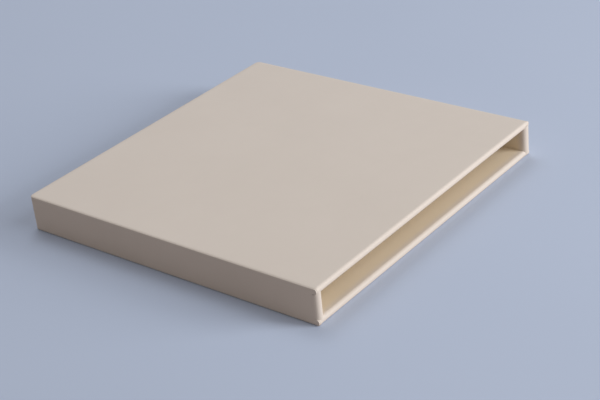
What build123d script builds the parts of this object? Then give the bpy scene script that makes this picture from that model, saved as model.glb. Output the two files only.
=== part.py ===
"""Album slipcase: a covered board case, open along one edge, that an album slides into.

The case lies on its lower broad side. X runs along the mouth, from the tail wall to the head wall,
Y runs from the mouth at -Y to the spine at +Y, and Z is up. The origin is the centre of the footprint,
on the surface that the case lies on. All sizes are in millimetres.
"""
import os

from build123d import *

# The album that the case is made for, and the room round it
album_length = 300.0
album_depth = 300.0
album_thickness = 20.0
end_clearance = 1.0
thickness_clearance = 1.2
mouth_recess = 3.4

# Boards and sheets
panel_board = 5.0
end_wall_board = 7.5
spine_wall_board = 7.5
cover_sheet = 0.3
lining_sheet = 0.2

# Corners and long edges of the covered case, and how far its wall ends stand behind the panels' rims
spine_corner_radius = 4.5
long_edge_radius = 1.0
wall_end_recess = 0.6

# Margins of the covering: over the panels, into the bay, and from a long edge to the broad sheet's edge
turn_over = 14.0
turn_in = 30.0
sheet_edge_margin = 0.2
sheet_corner_cut = 4.0

# Bay that the album fills
bay_width = album_length + 2 * end_clearance
bay_height = album_thickness + thickness_clearance

# Layers of a panel, from outside in: broad sheet, turned-over margin or infill, board, turn-in
panel_core = cover_sheet + panel_board
panel_depth = panel_core + 2 * cover_sheet
board_base = 2 * cover_sheet
board_top = board_base + panel_board

# Layers of a wall, from outside in: covering, board, then turn-in at the mouth and lining behind it
end_wall_depth = end_wall_board + 2 * cover_sheet
end_wall_face = bay_width / 2 + cover_sheet
lined_spine_wall = cover_sheet + spine_wall_board + lining_sheet

# Overall size
width = bay_width + 2 * end_wall_depth
depth = mouth_recess + album_depth + lined_spine_wall
height = bay_height + 2 * panel_depth

# Lines that several pieces share
mouth = -depth / 2
spine = depth / 2
core_mouth = mouth + cover_sheet
turn_in_edge = mouth + turn_in
spine_wall_face = spine - cover_sheet - spine_wall_board
panel_rim_radius = panel_depth / 2
wall_rim_radius = end_wall_depth / 2
wall_centre = width / 2 - wall_rim_radius
wall_rim_centre = mouth + wall_end_recess + wall_rim_radius
sheet_setback = long_edge_radius + sheet_edge_margin
wall_height = height - 2 * board_top
mid_height = Plane.XY.offset(height / 2)


def oblong(half_width, near, far):
    """Rectangle centred on X = 0 between two Y lines, in the sketch that is open."""
    with Locations((0, (near + far) / 2)):
        Rectangle(2 * half_width, far - near)


def wall_rims(radius):
    """The half-round mouth ends of both end walls in plan, in the sketch that is open."""
    with Locations((-wall_centre, wall_rim_centre), (wall_centre, wall_rim_centre)):
        Circle(radius)


def round_spine_corners(plan, radius):
    """Round the two spine corners of the plan that is open."""
    fillet(plan.vertices().group_by(Axis.Y)[-1], radius)


def case_plan(inset):
    """Plan of the case, drawn in by inset. Its mouth corners run round the wall ends below them."""
    with BuildSketch() as plan:
        oblong(width / 2 - inset, wall_rim_centre, spine - inset)
        round_spine_corners(plan, spine_corner_radius - inset)
        oblong(wall_centre, mouth + inset, spine_wall_face)
        wall_rims(wall_rim_radius - inset)
        make_hull()
    return plan.sketch


def broad_sheet_plan(mouth_line, setback):
    """Plan of a sheet on a panel's face, from the mouth to setback short of the three closed edges."""
    with BuildSketch() as plan:
        oblong(width / 2 - setback, mouth_line, spine - setback)
    return plan.sketch


def rim_section(inset):
    """Section of the lower panel, drawn in by inset, with its mouth edge a full half round."""
    rim_centre = mouth + panel_rim_radius
    with BuildSketch(Plane.YZ) as section:
        with Locations((rim_centre, panel_rim_radius)):
            Circle(panel_rim_radius - inset)
        with Locations(((rim_centre + spine) / 2, panel_rim_radius)):
            Rectangle(spine - rim_centre, panel_depth - 2 * inset)
    return section.sketch


def finish(piece, name):
    """Name a finished piece and write it to its own file."""
    piece.part.label = name
    export_step(piece.part, f"parts/{name}.step")


def finish_pair(lower, name):
    """Write a lower piece, and the same piece turned over as the upper one."""
    finish(lower, f"lower_{name}")
    with BuildPart() as upper:
        mirror(lower.part, about=mid_height)
    finish(upper, f"upper_{name}")
    return upper


os.makedirs("parts", exist_ok=True)
core_section = rim_section(cover_sheet)

# Panels: the two broad boards, their mouth edge sanded to a half round together with the infill
with BuildPart() as lower_panel:
    with BuildSketch(Plane.XY.offset(board_base)):
        add(case_plan(cover_sheet))
    extrude(amount=panel_board)
    fillet(lower_panel.faces().sort_by(Axis.Z)[0].edges(), long_edge_radius - cover_sheet)
    extrude(core_section, amount=width, both=True, mode=Mode.INTERSECT)
upper_panel = finish_pair(lower_panel, "panel")

# Infills: sheets as thick as the covering that level the panels between the turned-over margins
with BuildPart() as lower_infill:
    with BuildSketch(Plane.XY.offset(cover_sheet)):
        add(broad_sheet_plan(core_mouth, turn_over))
    extrude(amount=cover_sheet)
    extrude(core_section, amount=width, both=True, mode=Mode.INTERSECT)
upper_infill = finish_pair(lower_infill, "infill")

# Head and tail walls: thick strips of board between the panels, their mouth ends half round
with BuildPart() as head_wall:
    with BuildSketch(Plane.XY.offset(board_top)) as head_plan:
        with Locations((wall_centre, (wall_rim_centre + spine - cover_sheet) / 2)):
            Rectangle(end_wall_board, spine - cover_sheet - wall_rim_centre)
        outer_corner = head_plan.vertices().group_by(Axis.Y)[-1].sort_by(Axis.X)[-1]
        fillet(outer_corner, spine_corner_radius - cover_sheet)
        with Locations((wall_centre, wall_rim_centre)):
            Circle(end_wall_board / 2)
    extrude(amount=wall_height)
finish(head_wall, "head_wall")

with BuildPart() as tail_wall:
    mirror(head_wall.part, about=Plane.YZ)
finish(tail_wall, "tail_wall")

# Spine wall: the strip of board that closes the case, fitted between the head and tail walls
with BuildPart() as spine_wall:
    with BuildSketch(Plane.XY.offset(board_top)):
        oblong(end_wall_face, spine_wall_face, spine - cover_sheet)
    extrude(amount=wall_height)
finish(spine_wall, "spine_wall")

# Broad sheets: each covers a panel's face, wraps its mouth edge and is turned into the bay, its two
# mouth corners cut off. Over the ends of the end walls the turned edge stops at the wall's board.
with BuildPart() as lower_cover:
    with BuildSketch() as cover_plan:
        add(broad_sheet_plan(mouth, sheet_setback))
        round_spine_corners(cover_plan, spine_corner_radius - sheet_setback)
        chamfer(cover_plan.vertices().group_by(Axis.Y)[0], sheet_corner_cut)
    extrude(amount=panel_depth)
    extrude(rim_section(0), amount=width, both=True, mode=Mode.INTERSECT)
    extrude(core_section, amount=width, both=True, mode=Mode.SUBTRACT)
    with BuildSketch(Plane.XY.offset(board_top)):
        oblong(width / 2, mouth, spine)
        with Locations((0, (mouth + turn_in_edge) / 2)):
            Rectangle(bay_width, turn_in, mode=Mode.SUBTRACT)
    extrude(amount=cover_sheet, mode=Mode.SUBTRACT)
upper_cover = finish_pair(lower_cover, "cover")

# Wall covering: one strip round tail, spine and head, turned over on to both panels. At the mouth it
# wraps the rounded wall ends and is turned in, and its folds fill the hollows under the panels' rims.
with BuildPart() as wall_cover:
    with BuildSketch(Plane.XY.offset(cover_sheet)):
        add(case_plan(0))
    extrude(amount=panel_core)
    fillet(wall_cover.faces().sort_by(Axis.Z)[0].edges(), long_edge_radius)
    extrude(core_section, amount=width, both=True, mode=Mode.INTERSECT)
    mirror(about=mid_height)
    with BuildSketch(Plane.XY.offset(panel_rim_radius)) as strip_plan:
        oblong(width / 2, wall_rim_centre, spine)
        round_spine_corners(strip_plan, spine_corner_radius)
        wall_rims(wall_rim_radius)
        with Locations((0, (mouth + turn_in_edge) / 2)):
            Rectangle(bay_width, turn_in, mode=Mode.SUBTRACT)
        with Locations((0, (turn_in_edge + spine_wall_face) / 2)):
            Rectangle(2 * end_wall_face, spine_wall_face - turn_in_edge, mode=Mode.SUBTRACT)
    extrude(amount=height - 2 * panel_rim_radius)
    for backing in (lower_cover, upper_cover, head_wall, tail_wall, spine_wall,
                    lower_panel, upper_panel, lower_infill, upper_infill):
        add(backing.part, mode=Mode.SUBTRACT)
finish(wall_cover, "wall_cover")

# Wall lining: one strip of paper round the bay's three closed sides, from turn-in to turn-in
with BuildPart() as wall_lining:
    with BuildSketch(Plane.XY.offset(board_top)):
        oblong(end_wall_face, turn_in_edge, spine_wall_face)
        with Locations((0, (turn_in_edge + spine_wall_face - lining_sheet) / 2)):
            Rectangle(2 * (end_wall_face - lining_sheet), spine_wall_face - lining_sheet - turn_in_edge,
                      mode=Mode.SUBTRACT)
    extrude(amount=wall_height)
finish(wall_lining, "wall_lining")

# Panel linings: paper on the bay's two broad faces, from the turned-in sheet back to the spine
with BuildPart() as lower_lining:
    with BuildSketch(Plane.XY.offset(board_top)):
        oblong(end_wall_face - lining_sheet, turn_in_edge, spine_wall_face - lining_sheet)
    extrude(amount=lining_sheet)
finish_pair(lower_lining, "lining")
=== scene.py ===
"""Looks of the album slipcase: its covering, boards and papers, and the pale studio they lie in."""

from math import ceil, cos, pi, radians, sin, sqrt

import bpy
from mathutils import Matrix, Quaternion, Vector


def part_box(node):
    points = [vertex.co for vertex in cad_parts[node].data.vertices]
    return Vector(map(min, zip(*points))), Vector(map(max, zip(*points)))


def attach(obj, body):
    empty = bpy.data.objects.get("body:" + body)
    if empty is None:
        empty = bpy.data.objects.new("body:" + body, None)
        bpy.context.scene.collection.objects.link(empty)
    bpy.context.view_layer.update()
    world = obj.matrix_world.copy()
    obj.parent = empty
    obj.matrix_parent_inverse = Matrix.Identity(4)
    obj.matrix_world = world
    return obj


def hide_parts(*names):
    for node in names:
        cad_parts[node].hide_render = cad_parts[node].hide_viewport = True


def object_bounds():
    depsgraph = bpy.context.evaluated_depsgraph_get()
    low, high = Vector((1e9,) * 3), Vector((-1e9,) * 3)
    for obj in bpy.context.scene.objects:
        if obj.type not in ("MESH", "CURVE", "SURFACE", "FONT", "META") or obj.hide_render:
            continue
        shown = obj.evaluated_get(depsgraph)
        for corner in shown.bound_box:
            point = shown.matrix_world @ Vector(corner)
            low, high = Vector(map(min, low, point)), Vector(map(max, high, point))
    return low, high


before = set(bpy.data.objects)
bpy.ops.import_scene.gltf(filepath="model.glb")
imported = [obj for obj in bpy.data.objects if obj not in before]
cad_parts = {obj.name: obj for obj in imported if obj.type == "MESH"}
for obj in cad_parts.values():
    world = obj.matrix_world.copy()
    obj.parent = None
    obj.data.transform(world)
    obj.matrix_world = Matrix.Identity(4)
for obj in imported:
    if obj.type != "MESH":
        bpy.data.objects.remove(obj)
cad_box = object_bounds()


# Boards: two panels and three wall strips, cut from grey pulp board pressed from waste paper.
# They are glued edge to face into an open box, and the covering hides them on every side.
mm = 0.001


class Wire:
    """A socket in a material's node tree. Sums of wires and numbers add Math nodes."""

    def __init__(self, socket):
        self.socket = socket

    def node(self, kind, settings, inputs, output=0):
        """Add a node of that kind, with its settings first and then its sockets' values or wires."""
        tree = self.socket.id_data
        node = tree.nodes.new(kind)
        for name, value in settings.items():
            setattr(node, name, value)
        for name, value in inputs.items():
            if isinstance(value, Wire):
                tree.links.new(value.socket, node.inputs[name])
            else:
                node.inputs[name].default_value = value
        return Wire(node.outputs[output])

    def sum(self, operation, first, second=0.0):
        """The result of a Math node on one or two wires or numbers."""
        return self.node("ShaderNodeMath", {"operation": operation}, {0: first, 1: second})

    def __add__(self, other):
        return self.sum("ADD", self, other)

    def __radd__(self, other):
        return self.sum("ADD", other, self)

    def __sub__(self, other):
        return self.sum("SUBTRACT", self, other)

    def __rsub__(self, other):
        return self.sum("SUBTRACT", other, self)

    def __mul__(self, other):
        return self.sum("MULTIPLY", self, other)

    def __rmul__(self, other):
        return self.sum("MULTIPLY", other, self)

    def noise(self, size, detail=3.0, roughness=0.5):
        """Soft noise over these coordinates, with features about as large as size, in metres."""
        return self.node("ShaderNodeTexNoise", {},
                         {"Vector": self, "Scale": 1 / size, "Detail": detail, "Roughness": roughness})

    def ramp(self, start, end):
        """Smooth step from 0 where this value is start to 1 where it is end."""
        return self.node("ShaderNodeMapRange", {"interpolation_type": "SMOOTHSTEP"},
                         {"Value": self, "From Min": start, "From Max": end})

    def blend(self, first, second):
        """Colour that goes from first to second as this value goes from 0 to 1."""
        return self.node("ShaderNodeMix", {"data_type": "RGBA"}, {0: self, 6: first, 7: second}, 2)


def finish_material(name, constants, paint):
    """Material whose constants are set on the shader, and whose patterns paint(place) returns by socket."""
    material = bpy.data.materials.new(name)
    material.use_nodes = True
    tree = material.node_tree
    shader = tree.nodes["Principled BSDF"]
    for socket, value in constants.items():
        shader.inputs[socket].default_value = value
    place = Wire(tree.nodes.new("ShaderNodeTexCoord").outputs["Object"])
    for socket, wire in paint(place).items():
        tree.links.new(wire.socket, shader.inputs[socket])
    return material


def bump(height, depth):
    """Normal from a height pattern between 0 and 1 that is depth metres deep."""
    return height.node("ShaderNodeBump", {}, {"Height": height, "Distance": depth, "Strength": 1.0})


def paint_board(place):
    flecks = place.noise(0.7 * mm, 4.0, 0.7)
    clouds = place.noise(18 * mm)
    tone = flecks * 0.6 + clouds * 0.4
    return {
        "Base Color": tone.blend((0.20, 0.19, 0.17, 1), (0.42, 0.40, 0.36, 1)),
        "Normal": bump(flecks, 0.05 * mm),
    }


board = finish_material("grey_board", {"Roughness": 0.9, "Specular IOR Level": 0.2}, paint_board)
for name in ("lower_panel", "upper_panel", "head_wall", "tail_wall", "spine_wall"):
    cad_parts[name].data.materials.clear()
    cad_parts[name].data.materials.append(board)


# Infills: sheets of off-white paper as thick as the covering, glued to the outside of each panel
# inside the turned-over margins, so that no step shows through the broad sheets.
def paint_infill(place):
    fibres = place.noise(0.5 * mm, 4.0, 0.6)
    return {
        "Base Color": fibres.blend((0.62, 0.60, 0.55, 1), (0.72, 0.70, 0.65, 1)),
        "Normal": bump(fibres, 0.02 * mm),
    }


infill = finish_material("infill_paper", {"Roughness": 0.85, "Specular IOR Level": 0.3}, paint_infill)
for name in ("lower_infill", "upper_infill"):
    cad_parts[name].data.materials.clear()
    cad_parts[name].data.materials.append(infill)


# Linings: cream uncoated paper on the bay's walls and on its two broad faces, behind the turned-in
# covering. Each is glued on after the covering is turned in, and stops at its edge.
def paint_lining(place):
    fibres = place.noise(0.4 * mm, 4.0, 0.65)
    clouds = place.noise(35 * mm)
    tone = fibres * 0.5 + clouds * 0.5
    return {
        "Base Color": tone.blend((0.70, 0.60, 0.47, 1), (0.80, 0.70, 0.57, 1)),
        "Roughness": 0.8 + fibres * 0.12,
        "Normal": bump(fibres, 0.015 * mm),
    }


lining = finish_material("lining_paper", {"Specular IOR Level": 0.3}, paint_lining)
for name in ("wall_lining", "lower_lining", "upper_lining"):
    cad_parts[name].data.materials.clear()
    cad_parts[name].data.materials.append(lining)


# Broad sheets: smooth matt covering with a very fine pressed grain, one sheet on each broad face.
# Each is wrapped round the rounded mouth edge of its panel and turned into the bay. Its other
# three edges are pared thin and pressed down, so that the face eases away towards them.
low, high = cad_box
width, _, height = high - low
mouth, spine = low.y, high.y
sheet = 0.3 * mm
panel_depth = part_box("lower_cover")[1].z
rim = panel_depth / 2
turn_in_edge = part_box("lower_lining")[0].y
bay_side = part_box("head_wall")[0].x - sheet
setback = 1.2 * mm
ease_width = 6.0 * mm
spine_corner = 4.5 * mm
margin_depth = 6.0 * mm
half_round = 2.0
rim_power = 2.5
fold_power = 4.5
fold_width = 5.0 * mm
tail_fold_proud = 0.4 * mm
head_fold_proud = 0.2 * mm
pared_share = 0.8
edge_steps = [0.0, 0.3, 0.8, 1.4, 2.1, 2.9, 3.8, 4.8, 5.8]
rim_lead_in = [4.0, 2.0, 1.0, 0.4]
margin_steps = [0.4, 1.2]
least_step = 0.2 * mm
open_step = 15 * mm
rim_steps = 20
corner_turns = range(0, 91, 15)
corner_reach = 40 * mm
same_place = 0.002 * mm
sharp_angle = 40


def spread(start, end, step):
    """Numbers from start to end, no further apart than step, but for a thousandth of it."""
    count = max(1, ceil(abs(end - start) / step - 0.001))
    return [start + (end - start) * k / count for k in range(count + 1)]


def skin(name, patches):
    """Closed mesh of a thin sheet. A patch is rows of (outer, inner) point pairs, joined where they meet."""
    index, outer, inner, faces = {}, [], [], []
    for rows in patches:
        ids = []
        for row in rows:
            ids.append([])
            for out_point, in_point in row:
                key = tuple(round(c / same_place) for c in out_point)
                if key not in index:
                    index[key] = len(outer)
                    outer.append(out_point)
                    inner.append(in_point)
                ids[-1].append(index[key])
        for this, after in zip(ids, ids[1:]):
            for a, b, c, d in zip(this, this[1:], after[1:], after):
                corners = list(dict.fromkeys((a, b, c, d)))
                if len(corners) > 2:
                    faces.append(corners)
    sides = {}
    for face in faces:
        for a, b in zip(face, face[1:] + face[:1]):
            sides[a, b] = sides.get((a, b), 0) + 1
    count = len(outer)
    back = [[i + count for i in reversed(face)] for face in faces]
    rims = [(b, a, a + count, b + count) for a, b in sides if (b, a) not in sides]
    mesh = bpy.data.meshes.new(name)
    mesh.from_pydata(outer + inner, [], faces + back + rims)
    mesh.validate()
    mesh.shade_smooth()
    mesh.set_sharp_from_angle(angle=radians(sharp_angle))
    piece = bpy.data.objects.new(name, mesh)
    bpy.context.scene.collection.objects.link(piece)
    smooth = piece.modifiers.new("face_normals", "WEIGHTED_NORMAL")
    smooth.keep_sharp = True
    return piece


def pressed(distance):
    """How far the sheet's face has eased down at this distance from a closed edge of the case."""
    share = max(0.0, 1 - distance / ease_width)
    return sheet * share ** 3


def fullness(x):
    """How much the folds below the sheet fill the rim out at this x: 1 at either end, 0 past the folds."""
    share = max(0.0, 1 - (width / 2 - abs(x)) / fold_width)
    return share * share * (3 - 2 * share)


def profile_point(along, inset, x):
    """Place on the upper panel's section at this x. Along runs from the spine to the mouth to the bay.

    The rim's outer quarter is fuller than a half round, most of all over the folds at its two ends.
    """
    flat = spine - mouth - rim
    if along <= flat:
        return spine - along, height - inset
    if along <= flat + pi * rim:
        turn = (along - flat) / rim
        facing_out = turn < pi / 2
        filled = fullness(x)
        power = rim_power + (fold_power - rim_power) * filled if facing_out else half_round
        reach = (rim - inset) * (abs(sin(turn)) ** power + abs(cos(turn)) ** power) ** (-1 / power)
        furthest = tail_fold_proud if x < 0 else head_fold_proud
        proud = furthest * filled * sin(turn) ** (2 if facing_out else 6)
        return mouth + rim - sin(turn) * reach - proud, height - rim + cos(turn) * reach
    return mouth + rim + along - flat - pi * rim, height - panel_depth + inset


def upper_sheet_rows(half_width, stations, columns):
    """Rows of point pairs over the sheet on the upper panel, with its edges pared."""
    rows = []
    for along in stations:
        from_spine = along - setback
        corner = spine_corner - setback
        drawn_in = 0.0
        if from_spine < corner:
            drawn_in = corner - sqrt(max(0.0, corner ** 2 - (corner - from_spine) ** 2))
        row = []
        for side, distance in columns:
            x = side * (half_width - distance - (drawn_in if distance < corner_reach else 0.0))
            eased = Vector((pressed(half_width - abs(x) - drawn_in + setback), pressed(along))).length
            outer = profile_point(along, min(eased, sheet * pared_share), x)
            inner = profile_point(along, sheet, x)
            row.append(((x, *outer), (x, *inner)))
        rows.append(row)
    return rows


wall_fade = 4 * mm
mouth_fade = 1 * mm
mouth_fade_end = 9 * mm


def bay_bounce_mask(place):
    """Mask that grows from 0 on the outside to 1 within the bay, where the covering is painted warmer and
    lighter to stand in for light bounced between the bay's walls.
    """
    x, y, z = (place.node("ShaderNodeSeparateXYZ", {}, {"Vector": place}, axis) for axis in "XYZ")
    across = x.sum("ABSOLUTE", x).ramp(bay_side + wall_fade, bay_side)
    level = z.sum("ABSOLUTE", z - height / 2).ramp(height / 2 - rim, height / 2 - panel_depth)
    return across * level * y.ramp(mouth + mouth_fade, mouth + mouth_fade_end)


def paint_covering(place):
    grain = place.node("ShaderNodeTexVoronoi", {"feature": "SMOOTH_F1"},
                       {"Vector": place, "Scale": 1 / (0.55 * mm), "Smoothness": 1.0})
    fine = place.noise(0.25 * mm, 3.0, 0.6)
    clouds = place.noise(60 * mm, 2.0)
    patches = place.noise(9 * mm, 3.0)
    tone = clouds * 0.55 + patches * 0.25 + fine * 0.2
    outside = tone.blend((0.75, 0.672, 0.592, 1), (0.82, 0.742, 0.662, 1))
    # Painted bounce light: within the bay the covering is coloured warmer and lighter, in place of the light
    # bounced between its walls.
    bay_bounce_colour = tone.blend((0.83, 0.71, 0.53, 1), (0.90, 0.78, 0.60, 1))
    return {
        "Base Color": bay_bounce_mask(place).blend(outside, bay_bounce_colour),
        "Roughness": 0.56 + patches * 0.12,
        "Normal": bump(grain * 0.6 + fine * 0.4, 0.012 * mm),
    }


covering = finish_material("covering", {"Specular IOR Level": 0.35}, paint_covering)
half_sheet = width / 2 - setback
face_end = spine - mouth - rim
rim_end = face_end + pi * rim
near_edge = [step * mm for step in edge_steps]
bay_column = half_sheet - bay_side
outer_columns = near_edge + [bay_column] + spread(bay_column, half_sheet, open_step)[1:]
all_columns = [(-1, d) for d in outer_columns[:-1]] + [(1, d) for d in reversed(outer_columns)]
bay_columns = [(side, d) for side, d in all_columns if d >= bay_column - same_place]
rounded = [setback + (spine_corner - setback) * (1 - cos(radians(a))) for a in corner_turns]
stations = rounded + [setback + d for d in near_edge if setback + d > rounded[-1] + least_step]
stations += spread(stations[-1], face_end - rim_lead_in[0] * mm, open_step)[1:]
stations += [face_end - d * mm for d in rim_lead_in[1:]]
stations += spread(face_end, rim_end, pi * rim / rim_steps)
margin = [rim_end + d * mm for d in margin_steps] + [rim_end + margin_depth - rim]
hidden_end = rim_end + turn_in_edge - mouth - rim
bay_stations = margin[-1:] + spread(margin[-1], hidden_end, open_step)[1:]
full = upper_sheet_rows(half_sheet, stations + margin, all_columns)
turned_in = upper_sheet_rows(half_sheet, bay_stations, bay_columns)


def turned_over(rows):
    """The same rows on the lower panel, wound the other way so that they still face outwards."""
    return [[tuple((x, y, height - z) for x, y, z in pair) for pair in reversed(row)] for row in rows]


broad_sheets = {
    "upper": [full, turned_in],
    "lower": [turned_over(full), turned_over(turned_in)],
}
for panel_side, patches in broad_sheets.items():
    broad_sheet = skin(panel_side + "_broad_sheet", patches)
    broad_sheet.data.materials.append(covering)
    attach(broad_sheet, "root")
    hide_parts(panel_side + "_cover")


# Wall strip: one strip of the same covering round tail, spine and head, glued on before the broad
# sheets. It is turned over on to both panels, pulled round the rounded mouth ends of the walls and
# into the bay, and folded over the panels' mouth corners. The head's end stands a little proud.
wall_rim = (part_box("head_wall")[1].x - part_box("head_wall")[0].x) / 2 + sheet
tail_rim_line = mouth + wall_rim
head_end_proud = 0.6 * mm
head_rim_line = mouth - head_end_proud + wall_rim
long_edge = 0.8 * mm
tuck = 4.0 * mm
tuck_at_fold = 2 * setback
fold_fade = 0.3
fold_turns = 6
fold_step = 0.5 * mm
wall_side_round = 1.1 * mm
head_rim_power = 3.5
wall_step = 4 * mm
wall_turns = range(15, 90, 15)
wall_end_turns = range(0, 181, 10)
strip_top = height - sheet
strip_rim = rim - sheet
panel_under = height - panel_depth + sheet
mid_panel = height - rim


def fold_section(radius):
    """Section across a panel's closed edge, as (inset, drop) pairs of its outer and inner faces."""
    inner_radius = max(radius - sheet, 0.0)
    pairs = [((tuck, 0.0), (tuck, sheet)), ((setback, 0.0), (setback, sheet))]
    for step in range(fold_turns + 1):
        turn = pi / 2 * step / fold_turns
        outer = (radius - radius * sin(turn), radius - radius * cos(turn))
        inner = (sheet + inner_radius - inner_radius * sin(turn),
                 sheet + inner_radius - inner_radius * cos(turn))
        pairs.append((outer, inner))
    for share in (1 / 3, 2 / 3, 1.0):
        outer = (0.0, radius + (strip_rim - radius) * share)
        inner = (sheet, sheet + inner_radius + (strip_rim - sheet - inner_radius) * share)
        pairs.append((outer, inner))
    return pairs


def wall_path():
    """Plan of the closed sides, as (point, outward direction), from the tail's rim to the head's."""
    side, corner = width / 2, spine_corner
    path = [((-side, y), (-1.0, 0.0)) for y in spread(tail_rim_line, spine - corner, open_step)]
    for a in wall_turns:
        path.append(((-side + corner - corner * cos(radians(a)), spine - corner + corner * sin(radians(a))),
                     (-cos(radians(a)), sin(radians(a)))))
    path += [((x, spine), (0.0, 1.0)) for x in spread(-side + corner, side - corner, open_step)]
    for a in reversed(wall_turns):
        path.append(((side - corner + corner * cos(radians(a)), spine - corner + corner * sin(radians(a))),
                     (cos(radians(a)), sin(radians(a)))))
    path += [((side, y), (1.0, 0.0)) for y in spread(spine - corner, head_rim_line, open_step)]
    return path


def closed_side_rows():
    """The strip on tail, spine and head, from the upper panel's face down to the lower panel's."""
    upper = [((i, strip_top - d), (i_in, strip_top - d_in))
             for (i, d), (i_in, d_in) in fold_section(long_edge)]
    under = [(strip_rim * share, panel_under + strip_rim * (1 - share)) for share in (1 / 3, 2 / 3, 1.0)]
    upper += [((0.0, z), (sheet, z)) for _, z in under]
    middle = [((0.0, z), (sheet, z)) for z in spread(panel_under, height - panel_under, wall_step)[1:-1]]
    lower = [((i, height - z), (i_in, height - z_in)) for (i, z), (i_in, z_in) in reversed(upper)]
    section = upper + middle + lower
    rows = []
    for (x, y), (out_x, out_y) in wall_path():
        rows.append([((x - out_x * i, y - out_y * i, z), (x - out_x * i_in, y - out_y * i_in, z_in))
                     for (i, z), (i_in, z_in) in section])
    return rows


def wall_rim_rows(rim_line, outer_power):
    """The strip round a wall's mouth end, from the closed side to its edge in the bay, as on the tail."""
    centre = -width / 2 + wall_rim
    plan = []
    for a in wall_end_turns:
        out = (-cos(radians(a)), -sin(radians(a)))
        power = outer_power if a < 90 else half_round
        reach = wall_rim * (abs(out[0]) ** power + abs(out[1]) ** power) ** (-1 / power)
        plan.append(((centre + out[0] * reach, rim_line + out[1] * reach), out))
    plan += [((-bay_side, y), (1.0, 0.0)) for y in spread(rim_line, turn_in_edge, open_step)[1:]]
    rows = []
    for (x, y), (out_x, out_y) in plan:
        ahead = rim - (y - mouth)
        reach = sqrt(max(0.0, strip_rim ** 2 - ahead ** 2)) if ahead > 0 else strip_rim
        top = mid_panel - reach
        row = []
        for z in spread(panel_under, height - panel_under, wall_step):
            share = (z - height / 2) / (panel_under - height / 2)
            point = height / 2 + share * (top - height / 2)
            row.append(((x, y, point), (x - out_x * sheet, y - out_y * sheet, point)))
        rows.append(row)
    return rows


def corner_fold_rows(side, rim_line):
    """The strip folded over the upper panel's mouth edge: at the tail if side is -1, at the head if 1."""
    straight = rim_line - mouth - rim
    length = pi * rim
    stations = spread(-straight, 0.0, fold_step)
    stations += spread(0.0, length, length / rim_steps)[1:]
    stations += spread(length, length + straight, fold_step)[1:]
    rows = []
    for along in stations:
        closing = min(1.0, (along + straight) / (straight + fold_fade * length))
        opening = min(1.0, max(0.0, 2 * along / length - 1))
        radius = long_edge * (1 - closing * closing * (3 - 2 * closing)) + wall_side_round * opening ** 2
        row = []
        for (i, d), (i_in, d_in) in fold_section(radius):
            x = side * (width / 2 - min(i, tuck_at_fold))
            x_in = side * (width / 2 - min(i_in, tuck_at_fold))
            row.append(((x, *profile_point(face_end + along, sheet + d, x)),
                        (x_in, *profile_point(face_end + along, sheet + d_in, x_in))))
        rows.append(row)
    return rows if side < 0 else [list(reversed(row)) for row in rows]


def swapped(rows, flip_x, flip_z):
    """The rows mirrored to the head or the lower panel, wound so that they still face outwards."""
    def place(point):
        x, y, z = point
        return (-x if flip_x else x, y, height - z if flip_z else z)
    moved = [[tuple(place(point) for point in pair) for pair in row] for row in rows]
    return [list(reversed(row)) for row in moved] if flip_x != flip_z else moved


strip_patches = [closed_side_rows()]
for side, rim_line, power in ((-1, tail_rim_line, half_round), (1, head_rim_line, head_rim_power)):
    strip_patches.append(swapped(wall_rim_rows(rim_line, power), side > 0, False))
    for flip_z in (False, True):
        strip_patches.append(swapped(corner_fold_rows(side, rim_line), False, flip_z))
wall_strip = skin("wall_strip", strip_patches)
wall_strip.data.materials.append(covering)
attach(wall_strip, "root")
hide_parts("wall_cover")


# Studio floor: a wide sheet of pale blue-grey paper that the case lies on, seamless to the horizon.
# It throws less blue on to the case than it shows, as if the case lay on a duller sheet.
half_floor = 4.0


def seen_plainly(wire):
    """Mask in this wire's tree: 1 for rays from the camera, off a gloss or through a glass."""
    camera_ray, glossy_ray, glass_ray = (wire.node("ShaderNodeLightPath", {}, {}, f"Is {kind} Ray")
                                         for kind in ("Camera", "Glossy", "Transmission"))
    return wire.sum("MAXIMUM", camera_ray, wire.sum("MAXIMUM", glossy_ray, glass_ray))


def paint_floor(place):
    clouds = place.noise(0.5, 2.0)
    seen = clouds.blend((0.545, 0.63, 0.795, 1), (0.59, 0.675, 0.845, 1))
    bounced = (0.46, 0.425, 0.445, 1)
    return {"Base Color": seen_plainly(place).blend(bounced, seen)}


floor_paper = finish_material("floor_paper", {"Roughness": 0.9, "Specular IOR Level": 0.1}, paint_floor)
floor_mesh = bpy.data.meshes.new("studio_floor")
floor_mesh.from_pydata([(-half_floor, -half_floor, 0), (half_floor, -half_floor, 0),
                        (half_floor, half_floor, 0), (-half_floor, half_floor, 0)], [], [(0, 1, 2, 3)])
floor_mesh.materials.append(floor_paper)
floor = bpy.data.objects.new("studio_floor", floor_mesh)
bpy.context.scene.collection.objects.link(floor)


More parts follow.
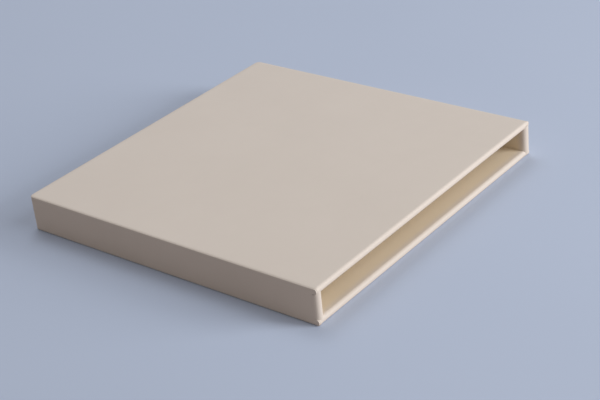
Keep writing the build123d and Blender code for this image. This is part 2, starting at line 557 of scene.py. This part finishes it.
# Studio light: a large softbox low before the mouth gives most of the light. A weaker one in front
# and one behind and above fill its shadows, in a dim room.
def softbox(name, azimuth, elevation, distance, size, watts, colour):
    """Square area light that looks at the case from that side and height."""
    lamp = bpy.data.lights.new(name, "AREA")
    lamp.size = size
    lamp.energy = watts
    lamp.color = colour
    lamp_object = bpy.data.objects.new(name, lamp)
    bpy.context.scene.collection.objects.link(lamp_object)
    a, e = radians(azimuth), radians(elevation)
    back = Vector((sin(a) * cos(e), -cos(a) * cos(e), sin(e)))
    lamp_object.location = back * distance
    lamp_object.rotation_mode = "QUATERNION"
    lamp_object.rotation_quaternion = (-back).to_track_quat("-Z", "Y")


softbox("side_softbox", azimuth=27, elevation=16, distance=4.0, size=1.6, watts=99, colour=(1.0, 1.0, 1.01))
softbox("front_softbox", azimuth=10, elevation=42, distance=3.0, size=1.6, watts=18, colour=(1.0, 1.0, 1.01))
softbox("top_softbox", azimuth=140, elevation=60, distance=2.8, size=1.6, watts=16, colour=(1.0, 1.01, 1.04))

world = bpy.data.worlds.new("studio")
world.use_nodes = True
bpy.context.scene.world = world
room_light = (0.25, 0.235, 0.225, 1)
backdrop = (0.54, 0.60, 0.76, 1)
sky = Wire(world.node_tree.nodes["Background"].inputs["Color"])
world.node_tree.links.new(seen_plainly(sky).blend(room_light, backdrop).socket, sky.socket)


# Camera: before the mouth, on the tail's side, looking down over the case into its bay. Its roll, and
# the angles, distance and lens, are those at which the case's edges lie as in the photograph.
camera_azimuth = -49.78
camera_elevation = 28.58
camera_roll = -6.06
camera_distance = 1.2282
camera_aim = Vector((-0.0308, -0.0412, 0.0165))
lens = bpy.data.cameras.new("camera")
lens.sensor_width = 36.0
lens.lens = 86.39
camera = bpy.data.objects.new("camera", lens)
bpy.context.scene.collection.objects.link(camera)
a, e = radians(camera_azimuth), radians(camera_elevation)
back = Vector((sin(a) * cos(e), -cos(a) * cos(e), sin(e)))
camera.location = camera_aim + back * camera_distance
camera.rotation_mode = "QUATERNION"
level = (-back).to_track_quat("-Z", "Y")
camera.rotation_quaternion = level @ Quaternion((0, 0, 1), radians(camera_roll))
bpy.context.scene.camera = camera
bpy.context.scene.view_settings.view_transform = "Standard"
